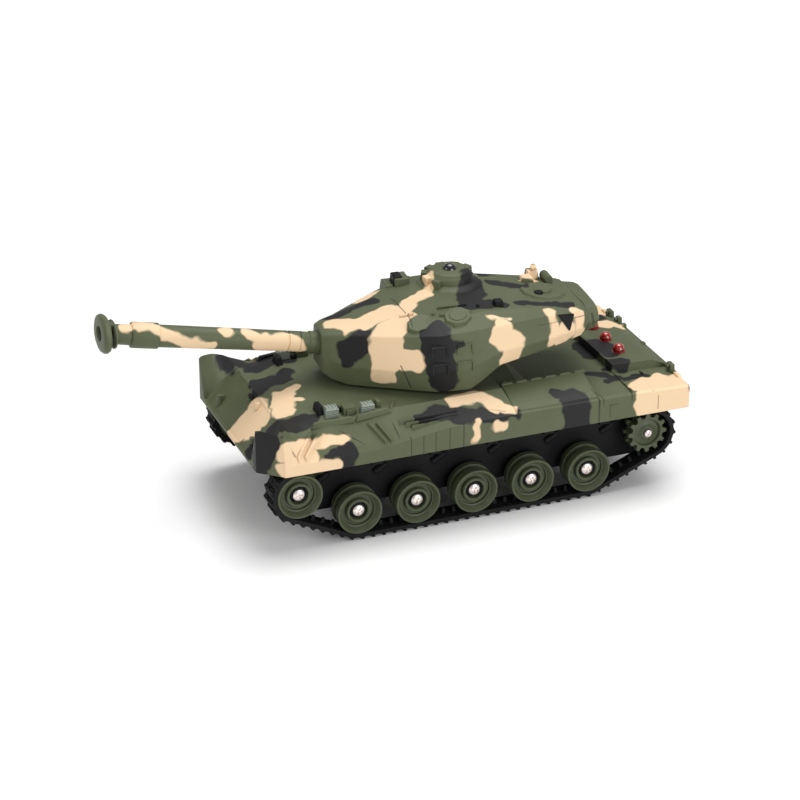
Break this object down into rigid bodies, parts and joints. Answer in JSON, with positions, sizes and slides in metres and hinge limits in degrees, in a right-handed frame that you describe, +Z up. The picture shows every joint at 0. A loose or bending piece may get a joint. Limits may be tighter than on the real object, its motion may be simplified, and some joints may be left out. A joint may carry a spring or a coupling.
{
  "type": "radio-controlled battle tank",
  "caption": "Toy battle tank in camouflage on rubber tracks, with a turning turret, a gun that elevates, driven sprockets, free road wheels and a battery hatch in the belly.",
  "frame": {"origin": "on the ground under the tracks, at the middle of the overall length and width", "axes": "+X the tank's front along its length, +Y its left side, +Z up"},
  "size_m": [0.3132, 0.12, 0.1214],
  "materials": {
    "olive_plastic": "satin camouflage paint",
    "black_plastic": "fine matte",
    "white_nylon": "natural nylon",
    "bright_steel": "bright",
    "board_green": "solder mask",
    "battery_wrap": "shrink wrap",
    "track_rubber": "matte",
    "red_lens": "clear red",
    "wheel_plastic": "satin moulded"
  },
  "bodies": {
    "hull": {"upper_hull": "olive_plastic", "lower_hull": "black_plastic", "track_left": "track_rubber", "track_right": "track_rubber", "battery_pack": "battery_wrap", "control_board": "board_green", "speaker": "black_plastic", "switch_body": "bright_steel", "gearbox_left": "white_nylon", "gearbox_right": "white_nylon", "drive_motor_left": "bright_steel", "drive_motor_right": "bright_steel", "life_led_1": "red_lens", "life_led_2": "red_lens", "life_led_3": "red_lens", "turret_motor": "bright_steel", "screw_road_wheel_1_left": "bright_steel", "screw_road_wheel_1_right": "bright_steel", "screw_road_wheel_2_left": "bright_steel", "screw_road_wheel_2_right": "bright_steel", "screw_road_wheel_3_left": "bright_steel", "screw_road_wheel_3_right": "bright_steel", "screw_road_wheel_4_left": "bright_steel", "screw_road_wheel_4_right": "bright_steel", "screw_road_wheel_5_left": "bright_steel", "screw_road_wheel_5_right": "bright_steel", "screw_idler_wheel_left": "bright_steel", "screw_idler_wheel_right": "bright_steel"},
    "turret": {"turret_shell": "olive_plastic", "turret_base": "black_plastic", "turret_ring_gear": "white_nylon", "cupola": "olive_plastic", "infrared_receiver": "black_plastic"},
    "gun": {"mantlet": "olive_plastic", "gun_barrel": "olive_plastic", "muzzle_brake": "olive_plastic", "infrared_emitter": "black_plastic"},
    "pinion": {"turret_pinion": "white_nylon"},
    "door": {"battery_door": "black_plastic"},
    "switch": {"power_switch": "white_nylon"},
    "sprocket_left": {"sprocket_left": "wheel_plastic", "drive_shaft_left": "bright_steel", "screw_sprocket_left": "bright_steel"},
    "road_wheel_1_left": {"road_wheel_1_left": "wheel_plastic"},
    "road_wheel_2_left": {"road_wheel_2_left": "wheel_plastic"},
    "road_wheel_3_left": {"road_wheel_3_left": "wheel_plastic"},
    "road_wheel_4_left": {"road_wheel_4_left": "wheel_plastic"},
    "road_wheel_5_left": {"road_wheel_5_left": "wheel_plastic"},
    "idler_wheel_left": {"idler_wheel_left": "wheel_plastic"},
    "sprocket_right": {"sprocket_right": "wheel_plastic", "drive_shaft_right": "bright_steel", "screw_sprocket_right": "bright_steel"},
    "road_wheel_1_right": {"road_wheel_1_right": "wheel_plastic"},
    "road_wheel_2_right": {"road_wheel_2_right": "wheel_plastic"},
    "road_wheel_3_right": {"road_wheel_3_right": "wheel_plastic"},
    "road_wheel_4_right": {"road_wheel_4_right": "wheel_plastic"},
    "road_wheel_5_right": {"road_wheel_5_right": "wheel_plastic"},
    "idler_wheel_right": {"idler_wheel_right": "wheel_plastic"}
  },
  "joints": [
    {"name": "turret_yaw", "type": "hinge", "parent": "hull", "child": "turret", "pos_m": [-0.02756, 0, 0.07], "axis": [0, 0, 1], "range_deg": [-155, 165]},
    {"name": "gun_elevation", "type": "hinge", "parent": "turret", "child": "gun", "pos_m": [0.02624, -0.00471, 0.0883], "axis": [-0.0872, -0.9962, 0], "range_deg": [-16, 6]},
    {"name": "turret_pinion_spin", "type": "hinge", "parent": "hull", "child": "pinion", "pos_m": [0.00146, 0, 0.06], "axis": [0, 0, 1], "range_deg": [-830, 780]},
    {"name": "battery_door_hinge", "type": "hinge", "parent": "hull", "child": "door", "pos_m": [-0.05356, 0, 0.015], "axis": [0, 1, 0], "range_deg": [-75, 0]},
    {"name": "power_switch_slide", "type": "slide", "parent": "hull", "child": "switch", "axis": [1, 0, 0], "range_m": [0, 0.004]},
    {"name": "drive_left", "type": "hinge", "parent": "hull", "child": "sprocket_left", "pos_m": [-0.13476, 0.051, 0.032], "axis": [0, 1, 0], "continuous": true},
    {"name": "road_wheel_1_left_spin", "type": "hinge", "parent": "hull", "child": "road_wheel_1_left", "pos_m": [0.03544, 0.051, 0.0164], "axis": [0, 1, 0], "continuous": true},
    {"name": "road_wheel_2_left_spin", "type": "hinge", "parent": "hull", "child": "road_wheel_2_left", "pos_m": [0.00194, 0.051, 0.0164], "axis": [0, 1, 0], "continuous": true},
    {"name": "road_wheel_3_left_spin", "type": "hinge", "parent": "hull", "child": "road_wheel_3_left", "pos_m": [-0.03156, 0.051, 0.0164], "axis": [0, 1, 0], "continuous": true},
    {"name": "road_wheel_4_left_spin", "type": "hinge", "parent": "hull", "child": "road_wheel_4_left", "pos_m": [-0.06506, 0.051, 0.0164], "axis": [0, 1, 0], "continuous": true},
    {"name": "road_wheel_5_left_spin", "type": "hinge", "parent": "hull", "child": "road_wheel_5_left", "pos_m": [-0.09856, 0.051, 0.0164], "axis": [0, 1, 0], "continuous": true},
    {"name": "idler_wheel_left_spin", "type": "hinge", "parent": "hull", "child": "idler_wheel_left", "pos_m": [0.06894, 0.051, 0.032], "axis": [0, 1, 0], "continuous": true},
    {"name": "drive_right", "type": "hinge", "parent": "hull", "child": "sprocket_right", "pos_m": [-0.13476, -0.051, 0.032], "axis": [0, 1, 0], "continuous": true},
    {"name": "road_wheel_1_right_spin", "type": "hinge", "parent": "hull", "child": "road_wheel_1_right", "pos_m": [0.03544, -0.051, 0.0164], "axis": [0, 1, 0], "continuous": true},
    {"name": "road_wheel_2_right_spin", "type": "hinge", "parent": "hull", "child": "road_wheel_2_right", "pos_m": [0.00194, -0.051, 0.0164], "axis": [0, 1, 0], "continuous": true},
    {"name": "road_wheel_3_right_spin", "type": "hinge", "parent": "hull", "child": "road_wheel_3_right", "pos_m": [-0.03156, -0.051, 0.0164], "axis": [0, 1, 0], "continuous": true},
    {"name": "road_wheel_4_right_spin", "type": "hinge", "parent": "hull", "child": "road_wheel_4_right", "pos_m": [-0.06506, -0.051, 0.0164], "axis": [0, 1, 0], "continuous": true},
    {"name": "road_wheel_5_right_spin", "type": "hinge", "parent": "hull", "child": "road_wheel_5_right", "pos_m": [-0.09856, -0.051, 0.0164], "axis": [0, 1, 0], "continuous": true},
    {"name": "idler_wheel_right_spin", "type": "hinge", "parent": "hull", "child": "idler_wheel_right", "pos_m": [0.06894, -0.051, 0.032], "axis": [0, 1, 0], "continuous": true}
  ],
  "couplings": [
    {"joint": "turret_pinion_spin", "follows": "turret_yaw", "ratio": -5},
    {"joint": "road_wheel_1_left_spin", "follows": "drive_left", "ratio": 1},
    {"joint": "road_wheel_2_left_spin", "follows": "drive_left", "ratio": 1},
    {"joint": "road_wheel_3_left_spin", "follows": "drive_left", "ratio": 1},
    {"joint": "road_wheel_4_left_spin", "follows": "drive_left", "ratio": 1},
    {"joint": "road_wheel_5_left_spin", "follows": "drive_left", "ratio": 1},
    {"joint": "idler_wheel_left_spin", "follows": "drive_left", "ratio": 1},
    {"joint": "road_wheel_1_right_spin", "follows": "drive_right", "ratio": 1},
    {"joint": "road_wheel_2_right_spin", "follows": "drive_right", "ratio": 1},
    {"joint": "road_wheel_3_right_spin", "follows": "drive_right", "ratio": 1},
    {"joint": "road_wheel_4_right_spin", "follows": "drive_right", "ratio": 1},
    {"joint": "road_wheel_5_right_spin", "follows": "drive_right", "ratio": 1},
    {"joint": "idler_wheel_right_spin", "follows": "drive_right", "ratio": 1}
  ]
}
